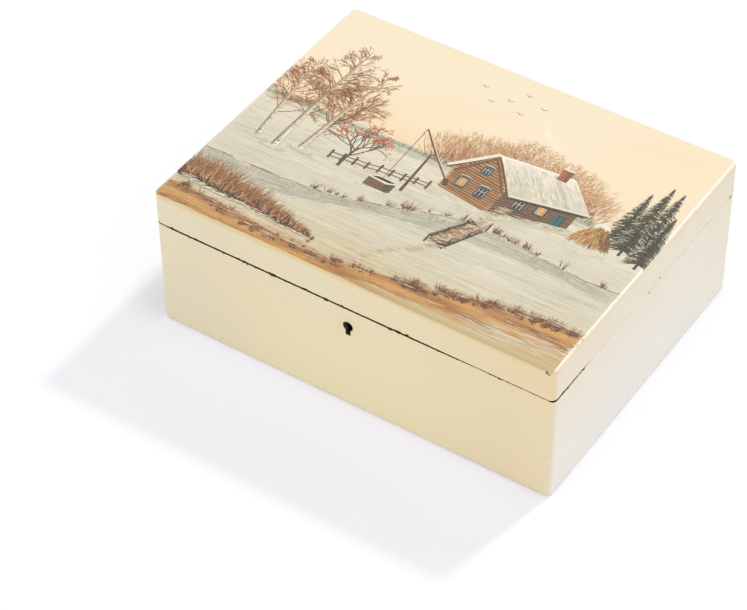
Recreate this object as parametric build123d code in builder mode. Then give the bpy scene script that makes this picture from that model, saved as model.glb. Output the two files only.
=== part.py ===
"""A lacquered papier-mache casket with a hinged lid and a small box lock.

X runs along the front from left to right, -Y is the front and Z is up.
The origin is the middle of the underside. Sizes are in millimetres.
"""

import os
from math import radians, tan

from build123d import *

os.makedirs("parts", exist_ok=True)

# The box as a whole
box_width = 220.0
box_depth = 169.0
body_height = 62.3
lid_height = 19.2
seam_gap = 0.5

# Papier-mache boards and the rounding of their lacquered edges
wall = 6.5
base_thickness = 5.0
lid_thickness = 5.0
corner_radius = 3.0
lid_edge_radius = 1.8
base_edge_radius = 1.6
seam_ease = 0.25

# Lip strips, glued inside the rim, that guide the lid as it shuts
lip_thickness = 2.2
lip_depth = 11.0
lip_rise = 3.0
lip_play = 0.35
lip_round = 0.8

# Butt hinges, let into the back edge so that the knuckles lie inside the box's outline
hinge_margin = 32.0
hinge_length = 32.0
hinge_inset = 1.5
lid_stop_angle = 102.0
barrel_radius = 1.3
barrel_play = 0.3
knuckle_count = 3
knuckle_gap = 0.2
pin_radius = 0.65
pin_play = 0.05
leaf_thickness = 0.8
leaf_setback = 0.4
leaf_fit = 0.1

# Brass nails, driven flush, that hold the hinges and the lock
nail_radius = 0.6
nail_fit = 0.05
hinge_nail_inset = 6.0
hinge_nail_length = 7.0
lock_nail_length = 4.5
strike_nail_length = 7.0

# Keyhole, measured from the seam down to the middle of its round head
key_drop = 11.3
keyhole_radius = 2.35
keyhole_slot = 2.4
keyhole_reach = 5.2
keyhole_round = 0.5

# Lock plate, bent over the rim as a narrow top plate
plate_width = 42.0
plate_height = 24.0
plate_thickness = 1.0
plate_corner = 1.0
top_plate_depth = 5.0
lock_fit = 0.1
lock_nail_inset = 1.75
lock_nail_drop = 4.4
lock_nail_lift = 3.85

# Lock case, a shallow tray behind the plate
case_inset = 3.7
case_foot = 2.65
case_wall = 0.5
case_room = 2.6
case_keyhole_play = 0.3
rivet_radius = 0.8
rivet_inset = 3.3
rivet_lift = 2.4
rivet_fit = 0.05

# Key post, the pin that the hollow key turns on
post_radius = 0.9
post_recess = 2.4

# Bolt, with two noses that slide over the toes of the hooks
bolt_travel = 3.0
bolt_end_play = 1.3
bolt_heel = 2.0
bolt_thickness = 1.4
bolt_play = 0.15
bolt_headroom = 0.3
nose_height = 2.0
bolt_floor = 1.9
talon_width = 4.5
talon_depth = 1.2
stud_radius = 0.9
stud_inset = 2.0
stud_play = 0.05
spring_length = 12.0
spring_width = 1.5
spring_thickness = 0.3
spring_play = 0.05

# Hooks that hang from the lid's strike plate into the lock
hook_stem = 2.0
hook_toe_height = 1.5
hook_thickness = 1.1
hook_play = 0.5
hook_lift_play = 0.35
hook_end_play = 0.3
strike_nail_inset = 4.5

# Levels and faces that follow from these sizes
lid_bottom = body_height + seam_gap
seam_level = body_height + seam_gap / 2
box_height = lid_bottom + lid_height
rim_top = box_height - lid_thickness
front_face = -box_depth / 2
back_face = box_depth / 2
inner_width = box_width - 2 * wall
inner_depth = box_depth - 2 * wall
front_inner = front_face + wall

hinge_y = back_face - hinge_inset
leaf_reach = wall - hinge_inset - leaf_setback
leaf_nail_y = hinge_y - (leaf_reach + barrel_radius) / 2
recess_radius = barrel_radius + barrel_play
knuckle_pitch = hinge_length / knuckle_count
hinge_spacing = box_width - 2 * hinge_margin - hinge_length
hinge_centres = (-hinge_spacing / 2, hinge_spacing / 2)
hinge_nail_spacing = hinge_length - 2 * hinge_nail_inset

key_level = seam_level - key_drop
plate_front = front_inner - plate_thickness
plate_bottom = body_height - plate_height
top_plate_bottom = seam_level - plate_thickness
case_inner_front = plate_front - case_room
case_front = case_inner_front - case_wall
case_bottom = plate_bottom + case_foot
case_width = plate_width - 2 * case_inset
case_height = top_plate_bottom - case_bottom

hook_toe = bolt_travel - hook_play + hook_end_play
hook_width = hook_stem + hook_toe
bolt_length = case_width - 2 * case_wall - bolt_travel - 2 * bolt_end_play
hook_spacing = bolt_length - 2 * bolt_heel - bolt_travel - hook_width - 2 * hook_play
stud_spacing = bolt_length - bolt_travel - 2 * stud_inset
bolt_top = top_plate_bottom - bolt_headroom
nose_bottom = bolt_top - nose_height
toe_top = nose_bottom - hook_lift_play
toe_bottom = toe_top - hook_toe_height
pocket_floor = toe_bottom - hook_play
bolt_bottom = pocket_floor - bolt_floor
bolt_back = plate_front - bolt_play
bolt_front = bolt_back - bolt_thickness
bolt_rest = -bolt_travel / 2
hook_y = (bolt_back + bolt_front) / 2
hook_centres = (-hook_spacing / 2, hook_spacing / 2)
stud_level = bolt_bottom - stud_radius - stud_play


def depth_plane(y):
    """A sketch plane that faces the front, with X to the right and Z up, at the given depth."""
    return Plane.XZ.offset(-y)


def save(part, name):
    """Label one finished piece and write it out under that name."""
    part.label = name
    export_step(part, f"parts/{name}.step")


def nail_group(places, length):
    """Identical nails, one driven in flush at each place."""
    with BuildPart() as group:
        with Locations(*places):
            Cylinder(nail_radius, length, align=(Align.CENTER, Align.CENTER, Align.MAX))
    return group.part


def keyhole(play=0.0):
    """The keyhole's outline, round above with a slot below, with its round head at the origin."""
    with BuildSketch() as outline:
        Rectangle(
            keyhole_slot + 2 * play,
            keyhole_reach + play,
            align=(Align.CENTER, Align.MAX),
        )
        fillet(outline.vertices().group_by(Axis.Y)[0], keyhole_round)
        Circle(keyhole_radius + play)
    return outline.sketch


# Where every nail is driven in: each plane's Z points back out of the nail
hinge_nail_x = [
    centre + side * hinge_nail_spacing / 2
    for centre in hinge_centres
    for side in (-1, 1)
]
hinge_body_places = [
    Plane(origin=(x, leaf_nail_y, body_height), z_dir=(0, 0, 1)) for x in hinge_nail_x
]
hinge_lid_places = [
    Plane(origin=(x, leaf_nail_y, lid_bottom), z_dir=(0, 0, -1)) for x in hinge_nail_x
]
lock_nail_places = [
    Plane(
        origin=(side * (plate_width / 2 - lock_nail_inset), front_inner, level),
        z_dir=(0, 1, 0),
    )
    for side in (-1, 1)
    for level in (plate_bottom + lock_nail_lift, seam_level - lock_nail_drop)
]
strike_mid_y = front_inner - top_plate_depth / 2
strike_places = [
    Plane(
        origin=(side * (plate_width / 2 - strike_nail_inset), strike_mid_y, seam_level),
        z_dir=(0, 0, -1),
    )
    for side in (-1, 1)
]


def hinge_seats(level, direction):
    """What the hinges take out of a rim: the back bevel, the leaf seats and the barrel hollows.

    direction is -1 below the seam and 1 above it, and level is the rim that the leaves lie in.
    The two bevels meet through the hinge axis, and they stop the lid when it stands open.
    """
    bevel_reach = hinge_inset + wall
    bevel_drop = bevel_reach * tan(radians(lid_stop_angle / 2))
    with BuildPart() as seats:
        with BuildSketch(Plane.YZ):
            with BuildLine():
                Polyline(
                    (hinge_y, seam_level),
                    (hinge_y + bevel_reach, seam_level),
                    (hinge_y + bevel_reach, seam_level + direction * bevel_drop),
                    close=True,
                )
            make_face()
        extrude(amount=box_width, both=True)
        for centre in hinge_centres:
            with BuildSketch(Plane.YZ.offset(centre)):
                with Locations((hinge_y, level + direction * leaf_thickness / 2)):
                    Rectangle(leaf_reach + leaf_fit, leaf_thickness, align=(Align.MAX, Align.CENTER))
                with Locations((hinge_y, seam_level)):
                    Circle(recess_radius)
            extrude(amount=hinge_length / 2 + leaf_fit, both=True)
    return seats.part


# The body's walls: a sleeve wound on a square form, then cut for the lock, the key and the hinges
with BuildPart() as body_walls:
    with BuildSketch(Plane.XY.offset(base_thickness)):
        RectangleRounded(box_width, box_depth, corner_radius)
        Rectangle(inner_width, inner_depth, mode=Mode.SUBTRACT)
    extrude(amount=body_height - base_thickness)
    chamfer(body_walls.faces().sort_by(Axis.Z)[-1].outer_wire().edges(), seam_ease)
    add(hinge_seats(body_height, -1), mode=Mode.SUBTRACT)
    with Locations(*hinge_body_places):
        Hole(nail_radius + nail_fit, depth=hinge_nail_length)
    with BuildSketch(depth_plane(front_inner)):
        with Locations((0, body_height)):
            Rectangle(plate_width + 2 * lock_fit, plate_height + lock_fit, align=(Align.CENTER, Align.MAX))
    extrude(amount=plate_thickness, mode=Mode.SUBTRACT)
    with BuildSketch(depth_plane(front_inner)):
        with Locations((0, body_height)):
            Rectangle(
                plate_width + 2 * lock_fit,
                body_height - top_plate_bottom,
                align=(Align.CENTER, Align.MAX),
            )
    extrude(amount=top_plate_depth + lock_fit, mode=Mode.SUBTRACT)
    with BuildSketch(depth_plane(front_inner)):
        with Locations((0, body_height)):
            Rectangle(
                case_width + 2 * lock_fit,
                body_height - case_bottom + lock_fit,
                align=(Align.CENTER, Align.MAX),
            )
    extrude(amount=front_inner - case_front + lock_fit, mode=Mode.SUBTRACT)
    with BuildSketch(depth_plane(front_inner)):
        with Locations((0, key_level)):
            add(keyhole())
    extrude(amount=wall, mode=Mode.SUBTRACT)
    with Locations(*lock_nail_places):
        Hole(nail_radius + nail_fit, depth=lock_nail_length)
save(body_walls.part, "body_walls")

# The bottom board, glued under the sleeve and rounded with it
with BuildPart() as base_plate:
    with BuildSketch():
        RectangleRounded(box_width, box_depth, corner_radius)
    extrude(amount=base_thickness)
    fillet(base_plate.faces().sort_by(Axis.Z)[0].edges(), base_edge_radius)
save(base_plate.part, "base_plate")


def lip_strip(length, start_mitre, end_mitre):
    """A lip strip along X, its glued face on Y = 0 and its thickness towards +Y.

    Each mitre is 1 where the end is cut at 45 degrees into the corner, or 0 where it is square.
    """
    with BuildPart() as strip:
        with BuildSketch(Plane.YZ.offset(-length / 2)) as profile:
            with BuildLine():
                Polyline(
                    (0, body_height - lip_depth),
                    (lip_thickness, body_height - lip_depth),
                    (lip_thickness, body_height + lip_rise),
                    (lip_play, body_height + lip_rise),
                    (lip_play, body_height),
                    (0, body_height),
                    close=True,
                )
            make_face()
            fillet(profile.vertices().group_by(Axis.Y)[-1], lip_round)
        extrude(amount=length)
        for end, mitre in ((-length / 2, start_mitre), (length / 2, end_mitre)):
            if mitre:
                inward = -1 if end > 0 else 1
                split(bisect_by=Plane(origin=(end, 0, 0), z_dir=(inward, -1, 0)), keep=Keep.TOP)
    return strip.part


# The lip strips, mitred in the corners; the front one is parted for the lock
lip_gap = plate_width / 2 + lock_fit
front_strip = inner_width / 2 - lip_gap
front_strip_mid = lip_gap + front_strip / 2
side_strips = {
    "lip_back": (inner_width, 1, 1, Location((0, inner_depth / 2, 0), (0, 0, 180))),
    "lip_left": (inner_depth, 1, 1, Location((-inner_width / 2, 0, 0), (0, 0, -90))),
    "lip_right": (inner_depth, 1, 1, Location((inner_width / 2, 0, 0), (0, 0, 90))),
    "lip_front_left": (front_strip, 1, 0, Location((-front_strip_mid, -inner_depth / 2, 0))),
    "lip_front_right": (front_strip, 0, 1, Location((front_strip_mid, -inner_depth / 2, 0))),
}
for name, (length, start_mitre, end_mitre, place) in side_strips.items():
    with BuildPart() as lip:
        with Locations(place):
            add(lip_strip(length, start_mitre, end_mitre))
    save(lip.part, name)

# The lid's painted board
with BuildPart() as lid_plate:
    with BuildSketch(Plane.XY.offset(rim_top)):
        RectangleRounded(box_width, box_depth, corner_radius)
    extrude(amount=lid_thickness)
    fillet(lid_plate.faces().sort_by(Axis.Z)[-1].edges(), lid_edge_radius)
save(lid_plate.part, "lid_plate")

# The lid's sides, the top slice of the same winding
with BuildPart() as lid_rim:
    with BuildSketch(Plane.XY.offset(lid_bottom)):
        RectangleRounded(box_width, box_depth, corner_radius)
        Rectangle(inner_width, inner_depth, mode=Mode.SUBTRACT)
    extrude(amount=rim_top - lid_bottom)
    chamfer(lid_rim.faces().sort_by(Axis.Z)[0].outer_wire().edges(), seam_ease)
    add(hinge_seats(lid_bottom, 1), mode=Mode.SUBTRACT)
    with Locations(*hinge_lid_places):
        Hole(nail_radius + nail_fit, depth=hinge_nail_length)
    with BuildSketch(depth_plane(front_inner)):
        with Locations((0, lid_bottom)):
            Rectangle(
                plate_width + 2 * lock_fit,
                plate_thickness - seam_gap / 2,
                align=(Align.CENTER, Align.MIN),
            )
    extrude(amount=top_plate_depth + lock_fit, mode=Mode.SUBTRACT)
    with Locations(*strike_places):
        Hole(nail_radius + nail_fit, depth=strike_nail_length)
save(lid_rim.part, "lid_rim")


def hinge_leaf(centre, direction, first_knuckle, places):
    """One leaf with its knuckles: direction is -1 for the body's leaf and 1 for the lid's.

    Its knuckles are every second one from first_knuckle, and it is cut clear of the others.
    """
    start = centre - hinge_length / 2
    level = seam_level + direction * (seam_gap + leaf_thickness) / 2
    knuckle_length = knuckle_pitch - knuckle_gap
    with BuildPart() as leaf:
        with BuildSketch(Plane.YZ.offset(start)):
            with Locations((hinge_y, level)):
                Rectangle(leaf_reach, leaf_thickness, align=(Align.MAX, Align.CENTER))
        extrude(amount=hinge_length)
        for other in range(1 - first_knuckle, knuckle_count, 2):
            with BuildSketch(Plane.YZ.offset(start + other * knuckle_pitch - knuckle_gap / 2)):
                with Locations((hinge_y, seam_level)):
                    Circle(barrel_radius + knuckle_gap)
            extrude(amount=knuckle_pitch + knuckle_gap, mode=Mode.SUBTRACT)
        for own in range(first_knuckle, knuckle_count, 2):
            with BuildSketch(Plane.YZ.offset(start + own * knuckle_pitch + knuckle_gap / 2)):
                with Locations((hinge_y, seam_level)):
                    Circle(barrel_radius)
            extrude(amount=knuckle_length)
        with BuildSketch(Plane.YZ.offset(start)):
            with Locations((hinge_y, seam_level)):
                Circle(pin_radius + pin_play)
        extrude(amount=hinge_length, mode=Mode.SUBTRACT)
        with Locations(*places):
            Hole(nail_radius + nail_fit, depth=2 * leaf_thickness)
    return leaf.part


# The two hinges: a body leaf with the outer knuckles, a lid leaf between them, and a pin
for index, (side, centre) in enumerate(zip(("left", "right"), hinge_centres)):
    own_nails = slice(2 * index, 2 * index + 2)
    save(hinge_leaf(centre, -1, 0, hinge_body_places[own_nails]), f"hinge_{side}_body_leaf")
    save(hinge_leaf(centre, 1, 1, hinge_lid_places[own_nails]), f"hinge_{side}_lid_leaf")
    with BuildPart() as hinge_pin:
        with BuildSketch(Plane.YZ.offset(centre)):
            with Locations((hinge_y, seam_level)):
                Circle(pin_radius)
        extrude(amount=hinge_length / 2, both=True)
    save(hinge_pin.part, f"hinge_{side}_pin")

save(nail_group(hinge_body_places, hinge_nail_length), "hinge_body_nails")
save(nail_group(hinge_lid_places, hinge_nail_length), "hinge_lid_nails")

# Rivets and studs stand on the lock plate, where they are headed over flush
rivet_spots = [(side * (case_width / 2 - rivet_inset), case_bottom + rivet_lift) for side in (-1, 1)]
stud_spots = [(side * stud_spacing / 2, stud_level) for side in (-1, 1)]

# The lock plate, let flush into the wall and bent over the rim, with slots for the hooks
with BuildPart() as lock_plate:
    with BuildSketch(depth_plane(front_inner)) as plate_outline:
        with Locations((0, seam_level)):
            Rectangle(plate_width, seam_level - plate_bottom, align=(Align.CENTER, Align.MAX))
        fillet(plate_outline.vertices().group_by(Axis.Y)[0], plate_corner)
    extrude(amount=plate_thickness)
    with BuildSketch(depth_plane(front_inner)):
        with Locations((0, seam_level)):
            Rectangle(plate_width, plate_thickness, align=(Align.CENTER, Align.MAX))
    extrude(amount=top_plate_depth)
    with BuildSketch(Plane.XY.offset(seam_level)):
        with Locations(*[(x, hook_y) for x in hook_centres]):
            Rectangle(hook_width + 2 * hook_play, hook_thickness + 2 * hook_lift_play)
    extrude(amount=-plate_thickness, mode=Mode.SUBTRACT)
    with Locations(*lock_nail_places):
        Hole(nail_radius + nail_fit, depth=2 * plate_thickness)
save(lock_plate.part, "lock_plate")

# The lock case, a tray open at the top and towards the plate, with its own keyhole
with BuildPart() as lock_case:
    with BuildSketch(depth_plane(plate_front)):
        with Locations((0, top_plate_bottom)):
            Rectangle(case_width, case_height, align=(Align.CENTER, Align.MAX))
    extrude(amount=plate_front - case_front)
    with BuildSketch(depth_plane(plate_front)):
        with Locations((0, top_plate_bottom)):
            Rectangle(
                case_width - 2 * case_wall,
                case_height - case_wall,
                align=(Align.CENTER, Align.MAX),
            )
    extrude(amount=case_room, mode=Mode.SUBTRACT)
    with BuildSketch(depth_plane(plate_front)):
        with Locations((0, key_level)):
            add(keyhole(case_keyhole_play))
        with Locations(*rivet_spots):
            Circle(rivet_radius + rivet_fit)
    extrude(amount=plate_front - case_front, mode=Mode.SUBTRACT)
save(lock_case.part, "lock_case")

with BuildPart() as case_rivets:
    with BuildSketch(depth_plane(plate_front)):
        with Locations(*rivet_spots):
            Circle(rivet_radius)
    extrude(amount=plate_front - case_front)
save(case_rivets.part, "case_rivets")

with BuildPart() as key_post:
    with BuildSketch(depth_plane(plate_front)):
        with Locations((0, key_level)):
            Circle(post_radius)
    extrude(amount=plate_front - front_face - post_recess)
save(key_post.part, "key_post")

with BuildPart() as bolt_studs:
    with BuildSketch(depth_plane(plate_front)):
        with Locations(*stud_spots):
            Circle(stud_radius)
    extrude(amount=plate_front - bolt_front)
save(bolt_studs.part, "bolt_studs")

# The bolt, withdrawn: each pocket lets a hook down, and its nose then slides over the hook's toe
with BuildPart() as lock_bolt:
    with BuildSketch(depth_plane(bolt_back)):
        with Locations((bolt_rest, bolt_top)):
            Rectangle(bolt_length, bolt_top - bolt_bottom, align=(Align.CENTER, Align.MAX))
        for centre in hook_centres:
            nose_tip = centre - hook_width / 2 - hook_play
            with Locations((nose_tip, pocket_floor)):
                Rectangle(
                    hook_width + 2 * hook_play,
                    bolt_top - pocket_floor,
                    align=(Align.MIN, Align.MIN),
                    mode=Mode.SUBTRACT,
                )
                Rectangle(
                    bolt_travel,
                    nose_bottom - pocket_floor,
                    align=(Align.MAX, Align.MIN),
                    mode=Mode.SUBTRACT,
                )
        with Locations((bolt_rest, bolt_bottom)):
            Rectangle(
                talon_width,
                talon_depth,
                align=(Align.CENTER, Align.MIN),
                mode=Mode.SUBTRACT,
            )
    extrude(amount=bolt_thickness)
save(lock_bolt.part, "lock_bolt")

# The bowed spring between the case and the bolt, which holds the bolt by friction
with BuildPart() as bolt_spring:
    spring_crest = bolt_front - spring_play
    with BuildSketch(Plane.XY.offset(bolt_bottom + bolt_floor / 2 - spring_width / 2)):
        with BuildLine():
            foot = (-hook_spacing / 2 - spring_length / 2, case_inner_front)
            toe = (-hook_spacing / 2 + spring_length / 2, case_inner_front)
            outer = ThreePointArc(foot, (-hook_spacing / 2, spring_crest - spring_thickness), toe)
            inner = ThreePointArc(
                (foot[0], foot[1] + spring_thickness),
                (-hook_spacing / 2, spring_crest),
                (toe[0], toe[1] + spring_thickness),
            )
            Line(outer @ 0, inner @ 0)
            Line(outer @ 1, inner @ 1)
        make_face()
    extrude(amount=spring_width)
save(bolt_spring.part, "bolt_spring")

save(nail_group(lock_nail_places, lock_nail_length), "lock_nails")

# The strike plate in the lid's rim, which lands on the lock's top plate, with its two hooks
with BuildPart() as strike_plate:
    with BuildSketch(Plane.XY.offset(seam_level)):
        with Locations((0, strike_mid_y)):
            Rectangle(plate_width, top_plate_depth)
    extrude(amount=plate_thickness)
    with BuildSketch(depth_plane(hook_y + hook_thickness / 2)):
        for centre in hook_centres:
            with Locations((centre + hook_width / 2, toe_bottom)):
                Rectangle(hook_stem, seam_level - toe_bottom, align=(Align.MAX, Align.MIN))
                Rectangle(hook_width, hook_toe_height, align=(Align.MAX, Align.MIN))
    extrude(amount=hook_thickness)
    with Locations(*strike_places):
        Hole(nail_radius + nail_fit, depth=2 * plate_thickness)
save(strike_plate.part, "strike_plate")

save(nail_group(strike_places, strike_nail_length), "strike_nails")
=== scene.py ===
"""A cream lacquered papier-mache casket with a painted lid, seen on a white studio floor.

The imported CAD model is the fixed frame: metres, X to the right, -Y to the front, Z up.
"""

import math
from random import Random

import bmesh
import bpy
from mathutils import Matrix, Vector


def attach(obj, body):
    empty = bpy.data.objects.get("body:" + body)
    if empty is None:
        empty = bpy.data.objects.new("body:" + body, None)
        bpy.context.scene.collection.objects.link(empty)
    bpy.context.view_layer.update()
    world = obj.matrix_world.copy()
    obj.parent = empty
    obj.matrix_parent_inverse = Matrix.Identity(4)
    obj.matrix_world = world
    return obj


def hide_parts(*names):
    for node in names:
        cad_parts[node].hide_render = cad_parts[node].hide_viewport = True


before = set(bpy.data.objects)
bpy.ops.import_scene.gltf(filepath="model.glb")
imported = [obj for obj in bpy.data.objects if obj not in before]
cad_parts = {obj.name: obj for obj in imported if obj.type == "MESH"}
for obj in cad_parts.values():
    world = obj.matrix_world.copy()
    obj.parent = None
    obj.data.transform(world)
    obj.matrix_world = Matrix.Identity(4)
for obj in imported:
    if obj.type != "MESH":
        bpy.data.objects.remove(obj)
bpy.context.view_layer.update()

# The casket's shell: walls, bottom board and lid sides, wound from pasted paper, baked hard and sanded.
# Outside lies a cream lacquer that has yellowed unevenly, painted paler for light low on the front and on
# the right side; inside a deep red one. The sawn rims between them are bare dark board, lapped by the cream
# where no hand has worn it off, and chipped along the seam. The lap next to the seam is painted near white,
# painted light in the gap's shade.

half_width, half_depth, seam_level = 110.0, 84.5, 62.55
corner_radius, wall, base_top = 3.0, 6.5, 5.0
bevel_start, bevel_rise = 81.0, 3.0
key_level, key_head, key_half, key_foot = 51.25, 2.7, 1.3, 5.2
skin_depth = 0.03


def put(tree, kind, into=None, **props):
    """A shader node; into gives its inputs, each a value or the output that feeds it."""
    node = tree.nodes.new("ShaderNode" + kind)
    for name, value in props.items():
        setattr(node, name, value)
    for key, value in (into or {}).items():
        if isinstance(value, bpy.types.NodeSocket):
            tree.links.new(value, node.inputs[key])
        else:
            node.inputs[key].default_value = value
    return node


def calc(tree, operation, *values):
    """The result of Math nodes: one for two values, and a chain of them for more."""
    result = put(tree, "Math", dict(enumerate(values[:2])), operation=operation).outputs[0]
    for value in values[2:]:
        result = put(tree, "Math", {0: result, 1: value}, operation=operation).outputs[0]
    return result


def times(tree, *values):
    """The values multiplied."""
    return calc(tree, "MULTIPLY", *values)


def plus(tree, *values):
    """The values added up."""
    return calc(tree, "ADD", *values)


def minus(tree, value, less):
    """The value less another."""
    return calc(tree, "SUBTRACT", value, less)


def ease(tree, value, low, high, least=0.0, most=1.0):
    """least at low, most at high, and smooth between; low may be the higher one."""
    into = {"Value": value, "From Min": low, "From Max": high, "To Min": least, "To Max": most}
    return put(tree, "MapRange", into, interpolation_type="SMOOTHSTEP").outputs["Result"]


def blend(tree, mask, under, over):
    """The colour over, laid on the colour under where the mask is 1."""
    return put(tree, "Mix", {0: mask, 6: under, 7: over}, data_type="RGBA").outputs[2]


def coats(tree, colour, *layers):
    """Colours laid over one another, each where its own mask is 1."""
    for mask, over in layers:
        colour = blend(tree, mask, colour, over)
    return colour


def noise(tree, place, scale, detail=3.0, stretch=None):
    """Soft noise around 0.5; scale counts its blots per millimetre."""
    if stretch:
        place = put(tree, "Mapping", {"Vector": place, "Scale": stretch}).outputs[0]
    return put(tree, "TexNoise", {"Vector": place, "Scale": scale, "Detail": detail}).outputs["Fac"]


def rgb(red, green, blue):
    """A colour written as it looks on screen, from 0 to 255."""
    shares = [level / 255 for level in (red, green, blue)]
    return tuple(c / 12.92 if c <= 0.04045 else ((c + 0.055) / 1.055) ** 2.4 for c in shares) + (1.0,)


def new_group(name, **outputs):
    """A shader node group that takes a place in millimetres; returns it, that place and its outputs."""
    group = bpy.data.node_groups.new(name, "ShaderNodeTree")
    group.interface.new_socket("Place", in_out="INPUT", socket_type="NodeSocketVector")
    for socket, kind in outputs.items():
        group.interface.new_socket(socket, in_out="OUTPUT", socket_type="NodeSocket" + kind)
    place = group.nodes.new("NodeGroupInput").outputs["Place"]
    return group, place, group.nodes.new("NodeGroupOutput").inputs


aged_cream, place, out = new_group("aged_cream", Color="Color")
tree = aged_cream
x, y, z = put(tree, "SeparateXYZ", {0: place}).outputs
warm = ease(tree, noise(tree, place, 0.014, 3), 0.36, 0.68)
olive = ease(tree, noise(tree, place, 0.027, 3, (1, 1, 0.6)), 0.52, 0.74, 0, 0.2)
front = ease(tree, y, -81, -84)
green = times(tree, front, ease(tree, x, -60, -108, 0, 0.5))
by_middle = ease(tree, calc(tree, "ABSOLUTE", x), 92, 25, 0, 0.55)
# Painted light: the middle of the front, most low down, is painted paler, and yellower, where less light
# reaches it.
painted_light_front = times(tree, front, by_middle, ease(tree, z, 62, 30, 0.4, 1))
honey = times(tree, front, ease(tree, x, 20, 106, 0, 0.6), ease(tree, z, 50, 68, 0.5, 1.3))
# Painted light: the right side is painted paler and whiter, most near the floor and towards the front, with
# a step below the seam.
painted_light_below_seam = ease(tree, z, seam_level + 0.25, seam_level - 0.25, 0, 0.12)
painted_light_right = plus(tree, ease(tree, z, 95, -10, 0.1, 0.82), painted_light_below_seam)
painted_light_right = minus(tree, painted_light_right, ease(tree, y, 10, 95, 0, 0.36))
painted_light_right = times(tree, ease(tree, x, 107.2, 109.6), painted_light_right)
run_over = calc(tree, "MAXIMUM", times(tree, front, 0.9), ease(tree, x, 107.5, 109.5, 0, 0.3))
run_over = times(tree, run_over, ease(tree, z, 77.3, 79.5))
specks = ease(tree, noise(tree, place, 0.9, 2), 0.74, 0.8, 0, 0.15)
colour = coats(
    tree, rgb(236, 223, 190), (warm, rgb(240, 222, 184)), (olive, rgb(233, 222, 184)),
    (green, rgb(233, 224, 188)), (painted_light_front, rgb(248, 233, 182)), (honey, rgb(240, 217, 168)),
    (painted_light_right, rgb(240, 236, 227)), (run_over, rgb(236, 208, 152)), (specks, rgb(200, 180, 138)),
)
tree.links.new(colour, out["Color"])

red_lacquer, place, out = new_group("red_lacquer", Color="Color")
tree = red_lacquer
colour = blend(tree, noise(tree, place, 0.05, 5), rgb(122, 24, 18), rgb(150, 40, 26))
worn = ease(tree, noise(tree, place, 0.12, 6, (1, 0.35, 1)), 0.6, 0.82, 0, 0.6)
tree.links.new(blend(tree, worn, colour, rgb(96, 24, 18)), out["Color"])

dark_board, place, out = new_group("dark_board", Color="Color")
tree = dark_board
fibres = noise(tree, place, 0.6, 4, (0.4, 0.4, 1))
tree.links.new(blend(tree, fibres, rgb(30, 20, 12), rgb(60, 42, 26)), out["Color"])


def use_group(tree, group, place):
    """The outputs of a node group at this place."""
    node = put(tree, "Group", node_tree=group)
    tree.links.new(place, node.inputs["Place"])
    return node.outputs


def millimetres(tree):
    """The place on the object, in millimetres."""
    metres = put(tree, "TexCoord").outputs["Object"]
    return put(tree, "VectorMath", {0: metres, "Scale": 1000.0}, operation="SCALE").outputs[0]


def distance(tree, place, spot=(0, 0, 0)):
    """How far a place is from this spot."""
    return put(tree, "VectorMath", {0: place, 1: spot}, operation="DISTANCE").outputs["Value"]


def new_finish(name, coat, coat_roughness):
    """A material with one Principled shader; returns it, its tree, the shader and places in millimetres."""
    finish = bpy.data.materials.new(name)
    finish.use_nodes = True
    tree = finish.node_tree
    shader = tree.nodes["Principled BSDF"]
    shader.inputs["Coat Weight"].default_value = coat
    shader.inputs["Coat Roughness"].default_value = coat_roughness
    return finish, tree, shader, millimetres(tree)


def bump(tree, height, depth):
    """A normal from a height; depth is in millimetres."""
    return put(tree, "Bump", {"Height": height, "Distance": depth / 1000}).outputs["Normal"]


def dress(finish, *nodes):
    """Give CAD nodes this finish."""
    for name in nodes:
        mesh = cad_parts[name].data
        mesh.materials.clear()
        mesh.materials.append(finish)


def edge_distance(tree, x, y):
    """How far a place lies in from the casket's sides and its rounded upright corners."""
    across = minus(tree, calc(tree, "ABSOLUTE", x), half_width - corner_radius)
    along = minus(tree, calc(tree, "ABSOLUTE", y), half_depth - corner_radius)
    outer = {axis: calc(tree, "MAXIMUM", over, 0.0) for axis, over in enumerate((across, along))}
    reach = distance(tree, put(tree, "CombineXYZ", outer).outputs[0])
    inner = calc(tree, "MINIMUM", calc(tree, "MAXIMUM", across, along), 0.0)
    return minus(tree, corner_radius, plus(tree, reach, inner))


def chip(tree, place, spot, radius):
    """A ragged chip in the lacquer at this spot."""
    ragged = times(tree, noise(tree, place, 0.9, 2), radius)
    away = plus(tree, distance(tree, place, spot), ragged)
    return ease(tree, away, 1.45 * radius, 1.25 * radius)


def shell_colours(tree, place):
    """The colours of the cream, the bare board and the red lacquer at this place."""
    return [use_group(tree, group, place)["Color"] for group in (aged_cream, dark_board, red_lacquer)]


lacquer_skin, place, out = new_group("lacquer_skin", Roughness="Float", Height="Float")
tree = lacquer_skin
tree.links.new(ease(tree, noise(tree, place, 0.06, 5), 0.3, 0.7, 0.26, 0.42), out["Roughness"])
peel = times(tree, noise(tree, place, 0.45, 2), 0.08)
tree.links.new(plus(tree, peel, noise(tree, place, 0.05, 2)), out["Height"])

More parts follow.
